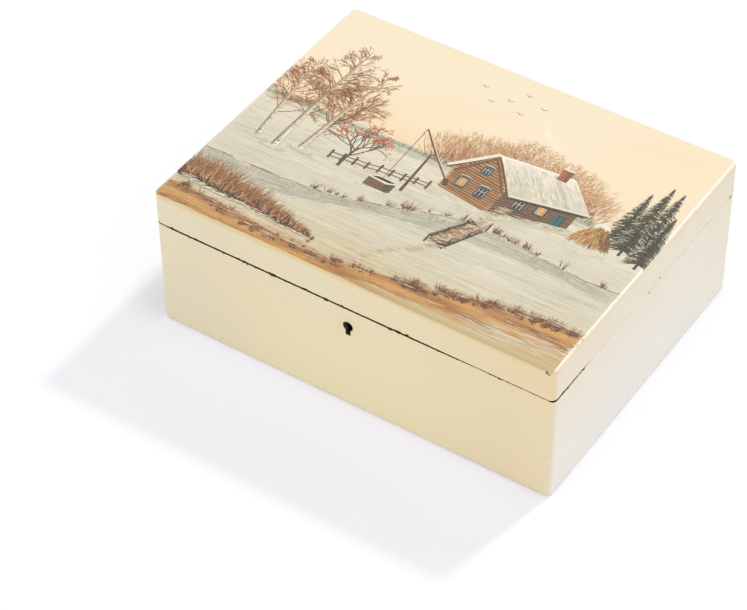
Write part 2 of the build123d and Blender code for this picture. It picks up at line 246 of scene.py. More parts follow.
casket_lacquer, tree, shader, place = new_finish("casket_lacquer", coat=0.4, coat_roughness=0.1)
x, y, z = put(tree, "SeparateXYZ", {0: place}).outputs
across, along = calc(tree, "ABSOLUTE", x), calc(tree, "ABSOLUTE", y)
inset = edge_distance(tree, x, y)
above_base = ease(tree, z, base_top - 0.1, base_top - 0.03)
inside = times(tree, ease(tree, inset, wall - 0.3, wall - 0.1), above_base)
front = ease(tree, y, -80, -84)
front_wear = times(tree, front, ease(tree, x, 72, 42, 0.35, 1), ease(tree, x, -105, -99, 0.5, 1))
right_wear = times(tree, ease(tree, x, 105.5, 109.5), ease(tree, y, -40, -76, 0, 1.05))
wear = calc(tree, "MAXIMUM", front_wear, right_wear, 0.12)
nicks = times(
    tree, ease(tree, noise(tree, place, 0.42, 2), 0.54, 0.66),
    ease(tree, noise(tree, place, 0.08, 2), 0.4, 0.58), ease(tree, wear, 0.2, 0.5), 0.7,
)
ripple = times(tree, minus(tree, noise(tree, place, 0.5, 3), 0.5), wear, 0.5)
reach = plus(tree, 0.1, times(tree, wear, 0.47), nicks, ripple)
from_seam = calc(tree, "ABSOLUTE", minus(tree, z, seam_level))
seam_edge = ease(tree, minus(tree, from_seam, reach), 0.06, -0.06)
hinge_bevel = times(
    tree, ease(tree, y, bevel_start - 0.5, bevel_start), ease(tree, inset, 0, 0.02),
    ease(tree, from_seam, 0.26, 0.32), ease(tree, from_seam, bevel_rise + 0.4, bevel_rise),
)
lap = plus(tree, ease(tree, wear, 0.1, 0.6, 1.3, 0.2), times(tree, noise(tree, place, 0.3, 3), 0.8), -0.4)
within = ease(tree, minus(tree, inset, calc(tree, "MAXIMUM", lap, 0.15)), 0, 0.15)
sawn = times(tree, within, above_base, minus(tree, 1.0, hinge_bevel))
by_key = times(tree, ease(tree, across, 5, 4.5), ease(tree, y, -70, -71), ease(tree, z, 40, 41))
key_walls = times(tree, by_key, ease(tree, inset, 0.08, 0.16))
from_key = distance(tree, place, (0, -half_depth, key_level + 0.2))
key_slot = times(
    tree, ease(tree, across, key_half + 0.2, key_half), front,
    ease(tree, z, key_level - key_foot - 0.2, key_level - key_foot),
    ease(tree, z, key_level + 0.2, key_level),
)
key_rim = calc(tree, "MAXIMUM", key_slot, ease(tree, from_key, key_head + 0.2, key_head))
bare = calc(tree, "MAXIMUM", sawn, seam_edge, key_walls, key_rim)
for spot, radius, strength in (
    ((110, 79.7, 62.5), 1.3, 0.6), ((109.5, 81.7, 65.7), 1.5, 0.35), ((110, 55.8, 63.0), 0.7, 1.0),
    ((110, 10.9, 63.5), 0.6, 1.0), ((110, 0.9, 61.9), 0.5, 1.0),
):
    bare = calc(tree, "MAXIMUM", bare, times(tree, chip(tree, place, spot, radius), strength))
rubbed_wear_and_highlight = ease(tree, noise(tree, place, 0.11, 3), 0.3, 0.7, 0.3, 0.65)
corner = times(tree, ease(tree, across, 106.8, 109), ease(tree, along, 81.3, 83.5), rubbed_wear_and_highlight)
corner = times(tree, corner, ease(tree, x, 109.9, 109.3, 0.25, 1))
# Darker, patchy paint along the bottom 2.4 mm of the walls.
patchy = ease(tree, noise(tree, place, 0.2, 4), 0.35, 0.65, 0.05, 0.4)
darker_foot = times(tree, ease(tree, z, 2.4, 0.5), patchy)
# Painted light: the cream lap on the rims next to the seam is near white, to lighten the shade inside the
# gap.
handled, painted_light_in_seam = ease(tree, from_key, 8, 3, 0, 0.15), ease(tree, from_seam, 0.34, 0.28)
key_stain = times(tree, key_walls, 0.6)
cream, dark, red = shell_colours(tree, place)
colour = coats(
    tree, cream, (corner, rgb(232, 208, 156)), (darker_foot, rgb(196, 182, 148)), (handled, rgb(214, 192, 150)),
    (painted_light_in_seam, rgb(255, 252, 246)), (bare, dark), (key_stain, rgb(98, 70, 34)), (inside, red),
)
tree.links.new(colour, shader.inputs["Base Color"])
skin = use_group(tree, lacquer_skin, place)
bare = times(tree, calc(tree, "MAXIMUM", bare, hinge_bevel), minus(tree, 1.0, inside))
duller = times(tree, bare, minus(tree, 0.8, skin["Roughness"]))
tree.links.new(plus(tree, skin["Roughness"], duller), shader.inputs["Roughness"])
tree.links.new(ease(tree, bare, 0, 1, 0.4, 0.0), shader.inputs["Coat Weight"])
height = minus(tree, skin["Height"], times(tree, bare, 2.0))
tree.links.new(bump(tree, height, skin_depth), shader.inputs["Normal"])
dress(casket_lacquer, "body_walls", "base_plate", "lid_rim")

# Lip strips: thin card glued inside the rim and lacquered red like the inside, which guide the lid as it
# shuts. Their top edges are rubbed down to the dark board.

lip_top = 65.3


def glaze(tree, shader, place):
    """Give a shader the gloss and the waviness of brushed lacquer."""
    skin = use_group(tree, lacquer_skin, place)
    tree.links.new(skin["Roughness"], shader.inputs["Roughness"])
    tree.links.new(bump(tree, skin["Height"], skin_depth), shader.inputs["Normal"])


lip_lacquer, tree, shader, place = new_finish("lip_lacquer", coat=0.3, coat_roughness=0.15)
z = put(tree, "SeparateXYZ", {0: place}).outputs["Z"]
patchy = ease(tree, noise(tree, place, 0.25, 4), 0.4, 0.6)
edge = times(tree, ease(tree, z, lip_top - 1.2, lip_top - 0.1), patchy)
red, dark = (use_group(tree, group, place)["Color"] for group in (red_lacquer, dark_board))
tree.links.new(blend(tree, edge, red, dark), shader.inputs["Base Color"])
glaze(tree, shader, place)
dress(lip_lacquer, "lip_front_left", "lip_front_right", "lip_left", "lip_right", "lip_back")

# Hinges and lock: leaves, pins, plates and nails of rolled brass, gone brown where no hand rubs them. The
# works inside, case, bolt, spring and post, are filed iron. Flush nails hold leaves and plates to the board.

scratch_depth = 0.01
metal_age, place, out = new_group("metal_age", Tarnish="Float", Roughness="Float", Height="Float")
tree = metal_age
grain = noise(tree, place, 1.2, 4, (0.08, 1, 1))
tree.links.new(ease(tree, noise(tree, place, 0.22, 6), 0.42, 0.7), out["Tarnish"])
tree.links.new(ease(tree, grain, 0.3, 0.7, 0.24, 0.44), out["Roughness"])
tree.links.new(grain, out["Height"])


def metal_finish(name, bright, dull):
    """A metal that is bright where it is rubbed and dull where it has tarnished."""
    finish, tree, shader, place = new_finish(name, coat=0.0, coat_roughness=0.1)
    age = use_group(tree, metal_age, place)
    tree.links.new(blend(tree, age["Tarnish"], bright, dull), shader.inputs["Base Color"])
    shader.inputs["Metallic"].default_value = 1.0
    tree.links.new(age["Roughness"], shader.inputs["Roughness"])
    tree.links.new(bump(tree, age["Height"], scratch_depth), shader.inputs["Normal"])
    return finish


brass = metal_finish("aged_brass", rgb(214, 176, 98), rgb(140, 100, 52))
dress(brass, "lock_plate", "strike_plate", "hinge_left_body_leaf", "hinge_right_body_leaf")
dress(brass, "hinge_left_lid_leaf", "hinge_right_lid_leaf", "hinge_left_pin", "hinge_right_pin")
dress(brass, "lock_nails", "strike_nails", "hinge_body_nails", "hinge_lid_nails")
iron = metal_finish("filed_iron", rgb(84, 78, 72), rgb(46, 38, 32))
dress(iron, "lock_case", "case_rivets", "key_post", "bolt_studs", "bolt_spring", "lock_bolt")

# The lid's board: the top sheet of the same papier-mache, its edge rounded over, with a winter landscape
# painted on it in oils under clear lacquer. Its finish holds the soft grounds: sky, chimney smoke, the
# haze of the thicket and snow, and a painted highlight along its right top edge.

board_bottom, board_top, edge_radius = 77.0, 81.6, 1.6
hairbreadth = 1e-6
horizon = 6.0
smoke_x, smoke_y, smoke_height = 47.5, 33.0, 27.0

lid_shape = bmesh.new()
bmesh.ops.create_cube(lid_shape, size=1.0)
size = Vector((2 * half_width, 2 * half_depth, board_top - board_bottom)) / 1000
bmesh.ops.scale(lid_shape, vec=size, verts=lid_shape.verts)
bmesh.ops.translate(lid_shape, vec=(0, 0, (board_top + board_bottom) / 2000), verts=lid_shape.verts)
rounding = dict(profile=0.5, affect="EDGES", material=-1)
upright = [edge for edge in lid_shape.edges if abs(edge.verts[0].co.z - edge.verts[1].co.z) > hairbreadth]
bmesh.ops.bevel(lid_shape, geom=upright, offset=corner_radius / 1000, segments=8, **rounding)
top = board_top / 1000 - hairbreadth
top_edges = [edge for edge in lid_shape.edges if min(vert.co.z for vert in edge.verts) > top]
bmesh.ops.bevel(lid_shape, geom=top_edges, offset=edge_radius / 1000, segments=6, **rounding)
for face in lid_shape.faces:
    face.smooth = True
for edge in lid_shape.edges:
    edge.smooth = max(vert.co.z for vert in edge.verts) > board_bottom / 1000 + hairbreadth


def new_piece(name, shape, finish):
    """Make a finished bmesh an object that rides on the lid."""
    mesh = bpy.data.meshes.new(name)
    shape.to_mesh(mesh)
    shape.free()
    mesh.materials.append(finish)
    piece = bpy.data.objects.new(name, mesh)
    bpy.context.scene.collection.objects.link(piece)
    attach(piece, "lid")
    return piece


def ramp(tree, value, *stops):
    """A colour ramp through (place, colour) stops."""
    node = put(tree, "ValToRGB", {"Fac": value})
    while len(node.color_ramp.elements) < len(stops):
        node.color_ramp.elements.new(1.0)
    for element, (spot, colour) in zip(node.color_ramp.elements, stops):
        element.position = spot
        element.color = colour
    return node.outputs["Color"]


picture, tree, shader, place = new_finish("lid_picture", coat=0.35, coat_roughness=0.2)
x, y, z = put(tree, "SeparateXYZ", {0: place}).outputs
drift = times(tree, minus(tree, noise(tree, place, 0.03, 3, (0.4, 1, 1)), 0.5), 14.0)
depth = calc(tree, "DIVIDE", plus(tree, y, drift, half_depth), half_depth + horizon)
snow = ramp(
    tree, depth, (0.0, rgb(196, 146, 82)), (0.06, rgb(208, 168, 108)), (0.13, rgb(219, 198, 154)),
    (0.27, rgb(224, 213, 184)), (0.5, rgb(221, 213, 188)), (0.75, rgb(224, 216, 192)),
    (1.0, rgb(238, 227, 200)),
)
streaks = noise(tree, place, 0.16, 5, (0.09, 1, 1))
shaded, lit = ease(tree, streaks, 0.52, 0.76, 0, 0.5), ease(tree, streaks, 0.46, 0.28, 0, 0.6)
earthy = times(tree, ease(tree, x, -15, 45, 0, 0.9), ease(tree, y, -79, -83))
snow = coats(
    tree, snow, (shaded, rgb(200, 200, 176)), (lit, rgb(238, 229, 208)), (earthy, rgb(208, 189, 140)),
)
height = calc(tree, "DIVIDE", minus(tree, y, horizon), half_depth - horizon)
sky = ramp(
    tree, height, (0.0, rgb(250, 219, 176)), (0.18, rgb(251, 226, 187)), (0.5, rgb(251, 233, 200)),
    (1.0, rgb(250, 232, 199)),
)
by_right = ease(tree, x, 10, 100, 0, 0.7)
clouds = noise(tree, place, 0.035, 5, (0.3, 1, 1))
cloudy = times(tree, ease(tree, clouds, 0.5, 0.74, 0, 0.4), ease(tree, y, 14, 34))
rise = calc(tree, "DIVIDE", minus(tree, y, smoke_y), smoke_height)
sway = times(tree, calc(tree, "SINE", times(tree, rise, 7.0)), 2.5)
aside = minus(tree, plus(tree, x, times(tree, rise, 30.0), -smoke_x), sway)
billow = times(tree, noise(tree, place, 0.16, 4), plus(tree, times(tree, rise, 9.0), 1.5))
billow = plus(tree, calc(tree, "ABSOLUTE", aside), billow)
veil = ease(tree, billow, plus(tree, times(tree, rise, 7.5), 1.8), 0.4)
veil = times(tree, veil, ease(tree, rise, -0.02, 0.06), ease(tree, rise, 1.25, 0.6), 0.85)
from_hut = {"Vector": place, "Location": (-0.56, -0.1, -2.0), "Scale": (1 / 53, 1 / 37, 2 / board_top)}
bushy = distance(tree, put(tree, "Mapping", from_hut).outputs[0])
bushy = plus(tree, bushy, times(tree, noise(tree, place, 0.11, 5), 0.6))
haze = ease(tree, bushy, 1.25, 0.75, 0, 0.8)
hills = plus(tree, times(tree, noise(tree, place, 0.022, 4, (1, 0, 0)), 12.0), horizon - 3.5)
land = ease(tree, minus(tree, y, hills), 0.9, -0.3)
field = ease(tree, y, horizon + 0.8, horizon - 0.6)
# Painted highlight: a near-white band along the right top edge, where the key lamp's reflection runs.
rubbed_wear_and_highlight = times(tree, ease(tree, x, 108.2, 108.9), ease(tree, z, board_top - 1.3, board_top - 0.8, 0, 0.8))
colour = coats(
    tree, sky, (by_right, rgb(251, 230, 195)), (cloudy, rgb(247, 222, 186)), (veil, rgb(255, 251, 243)),
    (haze, rgb(196, 134, 78)), (land, rgb(208, 208, 182)), (field, snow), (rubbed_wear_and_highlight, rgb(252, 243, 226)),
)
inset = edge_distance(tree, x, y)
ragged = times(tree, minus(tree, noise(tree, place, 0.3, 3), 0.5), 0.5)
on_top = ease(tree, plus(tree, inset, ragged), 0.15, 0.4)
paint_end = ease(tree, x, -60, 40, board_top - 0.5, board_top - 1.7)
over_edge = minus(tree, plus(tree, z, ragged), paint_end)
over_edge = times(tree, ease(tree, over_edge, -0.15, 0.15), ease(tree, y, -82, -83), ease(tree, x, 109, 108))
painted = calc(tree, "MAXIMUM", on_top, over_edge)
cream, dark, red = shell_colours(tree, place)
colour = blend(tree, painted, cream, colour)
flake = chip(tree, place, (106.3, -84.3, 79.5), 1.4)
left_over = minus(tree, 1.0, chip(tree, place, (106.9, -84.1, 80.2), 1.2))
dark_spot = chip(tree, place, (-92, -83.2, 81.5), 0.7)
dent = calc(tree, "MAXIMUM", times(tree, flake, left_over), dark_spot)
under = ease(tree, z, board_bottom + 0.1, board_bottom + 0.02)
below = times(tree, under, ease(tree, inset, wall - 0.3, wall))
tree.links.new(coats(tree, colour, (dent, dark), (below, red)), shader.inputs["Base Color"])
glaze(tree, shader, place)
lid_board = new_piece("lid_board", lid_shape, picture)
lid_board.modifiers.new("even_shading", "WEIGHTED_NORMAL").keep_sharp = True
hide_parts("lid_plate")

# Brushwork: every crisp mark on the picture is a stroke of a fine brush, laid over the grounds from the far
# distance to the front. A stroke is a strip of oil paint, its pigment deepened by the lacquer, thin where
# the brush lifts, and it lies on whatever was painted under it.

stroke_steps = 5
paint_film, first_coat = 0.0007, 0.015
cells_per_mm = 2
stroke_margin, paint_margin = 0.6, 0.4
patch_edge, patch_span = 0.1, 0.8
deepening = 1.2

rng = Random(5)
between = rng.uniform

# The strokes that wait to be made a piece, and how many films of paint lie on each cell of the lid.
canvas = []
films = {}

oil_paint, tree, shader, place = new_finish("oil_paint", coat=0.35, coat_roughness=0.2)
pigment = put(tree, "Attribute", attribute_name="pigment").outputs["Color"]
pigment = put(tree, "Gamma", {"Color": pigment, "Gamma": deepening}).outputs[0]
bristles = ease(tree, noise(tree, place, 1.5, 3), 0.35, 0.7, 0.0, 0.07)
tree.links.new(blend(tree, bristles, pigment, rgb(248, 236, 212)), shader.inputs["Base Color"])
glaze(tree, shader, place)


def at(x, y):
    """A spot on the picture, or a step across it, in millimetres."""
    return Vector((x, y))


def mixed(*pigments):
    """One of these pigments, a little lighter or darker, as no two strokes match."""
    light = between(0.94, 1.04)
    return rgb(*(min(255, level * light) for level in rng.choice(pigments)))


def stroke(start, end, widths, first, last=None, bow=0.0):
    """Put a stroke on the canvas: its ends, its widths at start, middle and end, its pigment at both ends
    and how far its middle bows to the left."""
    start, end = Vector(start), Vector(end)
    run = end - start
    left = at(-run.y, run.x).normalized()
    middle = (start + end) / 2 + 2 * bow * left
    if abs(middle.x) < half_width - stroke_margin and abs(middle.y) < half_depth - stroke_margin:
        canvas.append((start, middle, end, widths, first, last or first))


def drag(x, y, length, width, tint, slope=0.0, bow=0.0):
    """Put a level drag of the brush on the canvas, from its left end."""
    stroke((x, y), (x + length, y + slope * length), (0.05, width, 0.05), tint, bow=bow)


def dab(x, y, lengths, widths, pigments, slope=0.0):
    """Put a drag of some length and width between these, in one of these pigments, on the canvas."""
    drag(x, y, between(*lengths), between(*widths), mixed(*pigments), slope)


def on_lid(spot, film):
    """Where a spot of the picture lies on the lid's top and its rounded edge, this many films up."""
    flat = half_width - corner_radius, half_depth - corner_radius
    core = [max(-half, min(half, offset)) for half, offset in zip(flat, spot)]
    out = spot - Vector(core)
    if out.length > corner_radius - paint_margin:
        out *= (corner_radius - paint_margin) / out.length
    over = max(0.0, out.length - corner_radius + edge_radius)
    drop = edge_radius - math.sqrt(edge_radius ** 2 - over ** 2)
    x, y = Vector(core) + out
    return Vector((x, y, board_top - drop + first_coat + film * paint_film)) / 1000


def paint(name):
    """Make what is on the canvas one piece: a sheet is cut into strips, and each is bent along its stroke.
    Its map gives every strip a patch of its own."""
    sheet = bmesh.new()
    bmesh.ops.create_grid(sheet, x_segments=stroke_steps, y_segments=2 * len(canvas) - 1, size=0.5)
    sheet.verts.ensure_lookup_table()
    sheet.verts.index_update()
    sheet.faces.index_update()
    row_length = stroke_steps + 1
    colours = sheet.verts.layers.float_color.new("pigment")
    for number, (start, middle, end, widths, first, last) in enumerate(canvas):
        spine, cells = [], set()
        for step in range(row_length):
            t = step / stroke_steps
            shares = ((1 - t) ** 2, 2 * t * (1 - t), t ** 2)
            run = (1 - t) * (middle - start) + t * (end - middle)
            half = sum(share * width for share, width in zip(shares, widths)) / 2
            spot = shares[0] * start + shares[1] * middle + shares[2] * end
            side = at(-run.y, run.x).normalized() * half
            spine.append((spot - side, spot + side))
        for corners in zip(spine, spine[1:]):
            corners = [cells_per_mm * corner for pair in corners for corner in pair]
            across, up = ([math.floor(corner[axis]) for corner in corners] for axis in (0, 1))
            columns = range(min(across), max(across) + 1)
            cells.update((i, j) for i in columns for j in range(min(up), max(up) + 1))
        film = 1 + max(films.get(cell, 0) for cell in cells)
        films.update(dict.fromkeys(cells, film))
        for step, edges in enumerate(spine):
            for row, edge in enumerate(edges):
                vert = sheet.verts[(2 * number + row) * row_length + step]
                vert.co = on_lid(edge, film)
                vert[colours] = Vector(first).lerp(Vector(last), step / stroke_steps)
    between_strokes = [face for face in sheet.faces if face.index // stroke_steps % 2]
    bmesh.ops.delete(sheet, geom=between_strokes, context="FACES")
    patches = math.ceil(math.sqrt(len(canvas)))
    patch_map = sheet.loops.layers.uv.new("OFBake")
    for face in sheet.faces:
        for loop in face.loops:
            row, step = divmod(loop.vert.index, row_length)
            patch_row, patch = divmod(row // 2, patches)
            across = patch_edge + patch_span * step / stroke_steps
            up = patch_edge + patch_span * (row % 2)
            loop[patch_map].uv = (patch + across) / patches, (patch_row + up) / patches
    canvas.clear()
    new_piece(name, sheet, oil_paint)


# Far distance: a line of woods, low fields and crows in the air, in oils thinned with the tint of the sky.
# It is painted first, and all the rest lies over it.

mist = [(182, 188, 162), (166, 176, 152), (192, 186, 156), (154, 160, 138), (180, 166, 136)]
far_fields = [(212, 209, 184), (224, 216, 190), (200, 203, 178), (234, 224, 200)]
rises = ((4.5, -95, 20), (2.6, -22, 26), (6, 98, 24))
crows = ((-12, 58), (-4, 63), (5, 57), (-20, 66), (13, 66), (2, 71))
far_trees, field_strokes = 1100, 420
for _ in range(far_trees):
    x = between(-109, 109)
    tall = 1.2 + sum(rise * math.exp(-(((x - middle) / width) ** 2)) for rise, middle, width in rises)
    foot = horizon + between(-0.6, 0.5)
    tip = (x + between(-0.4, 0.4), foot + tall * between(0.35, 1))
    stroke((x, foot), tip, (0.5, 0.45, 0.08), mixed(*mist))
for _ in range(field_strokes):
    dab(between(-114, 100), horizon - between(0.2, 3.8), (6, 26), (0.2, 0.55), far_fields)
for x, y in crows:
    for way in (-1, 1):
        stroke((x, y), (x + way * 2.3, y + 1), (0.3, 0.45, 0.05), mixed((104, 84, 66)), bow=way * 0.35)
paint("painted_distance")

# Snowfield: long level drags of white, sage and straw that widen towards the front, and a frozen creek that
# winds through it with the bank's twigs mirrored in its ice.

snow_light = [(237, 229, 205), (230, 221, 196), (243, 236, 217), (227, 216, 188)]
snow_shade = [(209, 206, 182), (201, 201, 178), (214, 204, 175), (212, 194, 156), (194, 195, 172)]
ice = [(206, 204, 183), (197, 198, 178), (214, 210, 190), (188, 189, 169), (224, 218, 199), (210, 202, 183)]
mirrored = [(192, 180, 150), (178, 166, 138), (200, 190, 164)]
bank_edge = [(164, 138, 98), (146, 124, 92), (186, 166, 124), (176, 148, 104)]
snow_strokes, ice_strokes, mirrored_twigs, bank_strokes = 2800, 1100, 420, 900


def creek(x):
    """The middle of the creek and half its width, at this x."""
    return -37 + 0.10 * x + 5.5 * math.sin(x / 30 + 0.6), 4.6 + 1.4 * math.sin(x / 17)


for _ in range(snow_strokes):
    y = horizon - 2 - 86 * rng.random() ** 1.2
    near = 0.25 + 0.75 * (horizon - y) / 88
    tint = mixed(*(snow_light if rng.random() < 0.55 else snow_shade))
    slope, bow = between(-0.02, 0.03), between(-0.4, 0.4)
    drag(between(-116, 104), y, near * between(7, 38), near * between(0.12, 0.6), tint, slope, bow)
for _ in range(ice_strokes):
    x = between(-114, 104)
    middle, half = creek(x)
    offset = half * between(-0.92, 0.92)
    length = between(5, 20)
    end = creek(x + length)[0] + offset
    stroke((x, middle + offset), (x + length, end), (0.05, between(0.2, 0.7), 0.05), mixed(*ice))
for _ in range(mirrored_twigs):
    x = between(-106, 100)
    middle, half = creek(x)
    top = middle + half * between(0.3, 1)
    tint = mixed(*mirrored)
    stroke((x, top), (x + between(-0.3, 0.3), top - between(0.8, 3.4)), (0.3, 0.35, 0.05), tint)
for _ in range(bank_strokes):
    x = between(-112, 106)
    way = rng.choice((-1, 1))
    length, gap = between(2, 8), between(-0.2, 0.6)
    ends = [(end, creek(end)[0] + way * (creek(end)[1] + gap)) for end in (x, x + length)]
    lit = way < 0 or rng.random() < 0.45
    tint = mixed(*snow_light) if lit else mixed(*bank_edge)
    stroke(*ends, (0.1, between(0.25, 0.7), 0.1), tint, bow=between(-0.15, 0.15))
paint("painted_snowfield")

# Thicket behind the hut: a haze of bare twigs, umber at the heart, rust round it and pale where the light
# comes through.

heartwood = [(104, 66, 42), (124, 80, 48), (140, 90, 54)]
rust = [(168, 108, 60), (184, 122, 68), (196, 136, 80), (156, 96, 54)]
pale_twigs = [(214, 164, 110), (226, 182, 132), (204, 150, 96), (234, 198, 150)]
clumps = ((-8, 5, 12, 24), (8, 6, 14, 31), (30, 8, 16, 36), (52, 9, 15, 31), (68, 7, 11, 22))
twigs_per_mm = 44


def thicket(x, y, half, height, twigs):
    """A rounded clump of bare twigs; each stroke is the outer stretch of one."""
    for _ in range(twigs):
        lean = max(-1, min(1, rng.gauss(0, 0.42)))
        share = rng.random() ** 0.5
        reach = height * (1 - 0.5 * lean ** 2) * share
        foot = at(x + lean * half * 0.6 + rng.gauss(0, 0.12 * half), y + between(-1, 2))
        tip = foot + at(lean * 0.8 + rng.gauss(0, 0.1), 1) * reach
        start = tip.lerp(foot, min(0.8, between(2, 6) / (reach + 0.1)))
        depth = share + between(-0.2, 0.2)
        tints = heartwood if depth < 0.45 else rust if depth < 0.8 else pale_twigs
        outer = rust if depth < 0.6 else pale_twigs
        ends = mixed(*tints), mixed(*outer)
        stroke(start, tip, (0.14, 0.24, 0.05), *ends, bow=between(-0.08, 0.08) * reach)


for x, y, half, height in clumps:
    thicket(x, y, half, height, twigs_per_mm * half)
paint("painted_thicket")

# Firs at the wood's edge: drooping boughs laid over one another, dark at the stem and olive at the tips,
# with dabs of snow on their backs.

needles_dark = [(44, 48, 34), (54, 56, 38), (62, 60, 42)]
needles_light = [(92, 94, 58), (110, 106, 66), (80, 86, 54), (126, 116, 76)]
fir_snow = [(236, 229, 208), (214, 212, 192)]
firs = ((101, 5, 44, 9), (88, 3, 38, 8), (95, -2, 52, 10.5), (105.5, -6, 38, 8))
bare_boughs, snowy_boughs = 470, 90
for foot_x, foot_y, height, spread in firs:
    stroke((foot_x, foot_y - 2.5), (foot_x, foot_y + height), (1.4, 0.9, 0.2), mixed((74, 56, 40)))
    for k in range(bare_boughs + snowy_boughs):
        share = rng.random() ** 1.1
        stem = at(foot_x, foot_y + 1.5 + (height - 1.5) * share)
        reach = (spread * (1 - share) ** 0.9 + 0.5) * between(0.4, 1.0)
        way = rng.choice((-1, 1))
        tip = stem + at(way * reach, -reach * between(0.3, 0.62))
        if k < bare_boughs:
            tints = mixed(*needles_dark), mixed(*needles_light)
            stroke(stem, tip, (0.25, 0.5, 0.06), *tints, bow=way * reach * 0.07)
        else:
            start = stem.lerp(tip, between(0.45, 0.7)) + at(0, 0.3)
            stroke(start, start.lerp(tip, 0.7), (0.1, 0.55, 0.1), mixed(*fir_snow), bow=way * 0.1)
paint("painted_firs")

# Log hut: walls of round logs notched at the corners, teal frames at its windows, a thick coat of snow on
# its roof and a brick chimney.

gable_left, gable_right, far_corner = at(0, -8), at(28, -12), at(66, -4)
eaves, far_eaves, peak = at(0, 18), at(0, 15.5), at(14, 23.5)
lit_wood = [(186, 132, 78), (170, 118, 68), (198, 146, 90), (158, 108, 62)]
shaded_wood = [(124, 86, 54), (110, 75, 48), (136, 96, 60)]
joint = [(78, 50, 32), (66, 42, 28)]
back_light = Vector(rgb(234, 196, 142))
log_ends = ((0.9, 1.7, [(214, 174, 120), (198, 154, 102)]), (0.35, 0.7, [(146, 102, 64)]))
courses, gable_courses = 11, 8


def log_wall(low_left, low_right, high_left, high_right, rows, wood):
    """Courses of logs: each is a dark joint and four drags for its round face, the third of them lit."""
    drags, lit = 5, 3
    width = 1.3 * (high_left.y - low_left.y) / rows / drags
    for number in range(rows * drags):
        share = (number + 0.5) / (rows * drags)
        left, right = low_left.lerp(high_left, share), low_right.lerp(high_right, share)
        cuts = (0, between(0.2, 0.45), between(0.55, 0.8), 1)
        for start, end in zip(cuts, cuts[1:]):
            tint = mixed(*(wood if number % drags else joint))
            if number % drags == lit:
                tint = Vector(tint).lerp(back_light, 0.35)
            stroke(left.lerp(right, start), left.lerp(right, end), (width,) * 3, tint)


log_wall(gable_left, gable_right, gable_left + eaves, gable_right + eaves, courses, lit_wood)
log_wall(gable_left + eaves, gable_right + eaves, peak, peak, gable_courses, lit_wood)
log_wall(gable_right, far_corner, gable_right + eaves, far_corner + far_eaves, courses, shaded_wood)
for row in range(courses):
    for corner in (gable_left, gable_right):
        spot = corner + eaves * ((row + 0.55) / courses)
        for half, breadth, tints in log_ends:
            reach = at(half, 0)
            stroke(spot - reach, spot + reach, (0.5 * breadth, breadth, 0.5 * breadth), mixed(*tints))


def opening(middle, width, height, glass):
    """A window with a teal frame, a carved head and crossed bars."""
    low, high = middle - at(0, height / 2), middle + at(0, height / 2)
    teal, pale = mixed((40, 106, 108), (30, 90, 96)), mixed((228, 218, 192))
    stroke(low - at(0, 1.2), high + at(0, 1.4), (width + 2.6,) * 3, teal)
    stroke(low, high, (width,) * 3, glass)
    stroke(low, high, (0.35,) * 3, pale)
    stroke(middle - at(width / 2, -0.6), middle + at(width / 2, 0.6), (0.35,) * 3, pale)
    for way in (-1, 1):
        side = at(way * (width / 2 + 0.3), 0)
        stroke(low + side, high + side, (0.3,) * 3, pale)
    reach = at(width / 2 + 1.5, 0)
    head = high + at(0, 1.3)
    stroke(head - reach, head + reach, (0.3, 1.2, 0.3), pale, bow=0.9)


lamplight, gloom = (230, 160, 70), (66, 54, 46)
door_left, door_foot, door_head, door_boards = 57.4, -5.2, 4.6, 6
for x, y, glass in ((8, 0.2, lamplight), (19.6, -1.4, gloom), (39, 0.4, gloom), (50, 2.4, lamplight)):
    opening(at(x, y), width=3.3, height=5.6, glass=mixed(glass))
opening(at(14, 13.2), width=2.6, height=3.8, glass=mixed(gloom))
for k in range(door_boards):
    x, lift = door_left + 0.9 * k, 0.2 * k
    tint = mixed((36, 98, 102), (52, 118, 116))
    stroke((x, door_foot + lift), (x, door_head + lift), (0.9,) * 3, tint)
roof_light = [(250, 242, 224), (244, 235, 215), (236, 226, 204)]
roof_shade = [(222, 215, 194), (212, 208, 188), (230, 218, 190), (204, 202, 184)]
ridge, ridge_end = at(13.4, 26), at(53, 29.4)
eave, eave_end, eave_left = at(31.8, 3.6), at(70.6, 11.6), at(-4.6, 7.2)
roof_drags, roof_strokes, drift_strokes = 14, 330, 420
for k in range(roof_drags):
    share = (k + 0.5) / roof_drags
    top, foot = ridge.lerp(ridge_end, share), eave.lerp(eave_end, share)
    stroke(top, foot, (3.1,) * 3, mixed(*roof_light), mixed(*roof_shade))
for _ in range(roof_strokes):
    share, down = rng.random(), rng.random() ** 0.8
    top, foot = ridge.lerp(ridge_end, share), eave.lerp(eave_end, share)
    tints = roof_light if rng.random() > 0.35 + 0.4 * down else roof_shade
    start, end = top.lerp(foot, 0.75 * down), top.lerp(foot, 0.75 * down + between(0.1, 0.25))
    stroke(start, end, (0.1, between(0.4, 1.1), 0.1), mixed(*tints), bow=between(-0.2, 0.2))
for start, end, width, tint in (
    (eave - at(1, 2), eave_end - at(2, 2), 1.6, (86, 58, 38)),
    (ridge - at(0, 2.6), eave_left + at(4.8, -1.6), 1.4, (128, 86, 50)),
    (ridge - at(0, 2.6), eave - at(3.4, 0.6), 1.2, (128, 86, 50)),
    (eave - at(0, 1), eave_end - at(0, 1), 1.0, (88, 70, 56)),
    (eave, eave_end, 1.8, (246, 239, 222)),
    (ridge, eave - at(0.8, 0), 1.1, (112, 78, 50)),
    (ridge, eave_left + at(0.9, -1.2), 1.1, (112, 78, 50)),
    (ridge + at(0, 0.8), eave_left, 2.4, (248, 241, 224)),
    (ridge, ridge_end + at(0, 0.3), 1.7, (252, 246, 232)),
):
    stroke(start, end, (0.8 * width, width, 0.7 * width), mixed(tint), bow=0.2)
